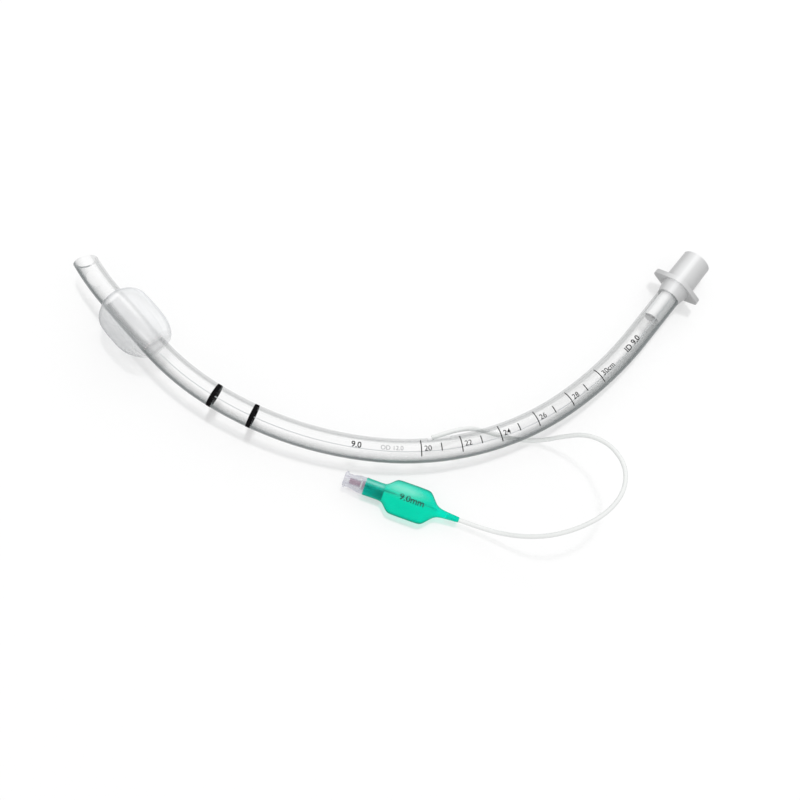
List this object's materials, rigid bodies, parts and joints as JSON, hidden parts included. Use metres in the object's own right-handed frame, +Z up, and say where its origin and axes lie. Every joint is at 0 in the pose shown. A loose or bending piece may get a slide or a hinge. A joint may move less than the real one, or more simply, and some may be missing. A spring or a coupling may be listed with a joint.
{
  "type": "cuffed endotracheal tube",
  "caption": "Curved clear breathing tube with a bevelled tip and side eye, inflated cuff, eared 15 mm connector, and an inflation line to a flat pilot balloon with a spring valve.",
  "frame": {"origin": "centre of the footprint of the tube, cuff and connector, on the surface the part lies on", "axes": "+X along the chord from the patient tip to the connector, +Z up, the pilot balloon towards -Y"},
  "size_m": [0.3193, 0.1522, 0.032],
  "materials": {
    "clear_pvc": "clear soft plastic, glossy",
    "milky_film": "thin milky film, softly creased",
    "frosted_plastic": "frosted moulded plastic",
    "pale_pvc": "pale translucent soft plastic",
    "green_film": "green translucent soft plastic",
    "clear_plastic": "clear hard plastic",
    "pink_plastic": "pink moulded plastic",
    "white_rubber": "soft white rubber",
    "spring_steel": "bright spring wire"
  },
  "bodies": {
    "tube": {"tube_shaft": "clear_pvc", "cuff": "milky_film", "connector": "frosted_plastic", "inflation_line": "pale_pvc", "pilot_balloon": "green_film", "valve_housing": "clear_plastic", "valve_spring": "spring_steel", "valve_retainer": "clear_plastic", "channel_seal_tip": "clear_pvc", "channel_seal_notch": "clear_pvc"},
    "plunger": {"valve_plunger": "pink_plastic", "valve_washer": "white_rubber"}
  },
  "joints": [
    {"name": "plunger_slide", "type": "slide", "parent": "tube", "child": "plunger", "axis": [0.9311, -0.3649, 0], "range_m": [0, 0.0012], "stiffness_N_per_m": 150, "springref_m": -0.001, "deforming": ["valve_spring"]}
  ]
}
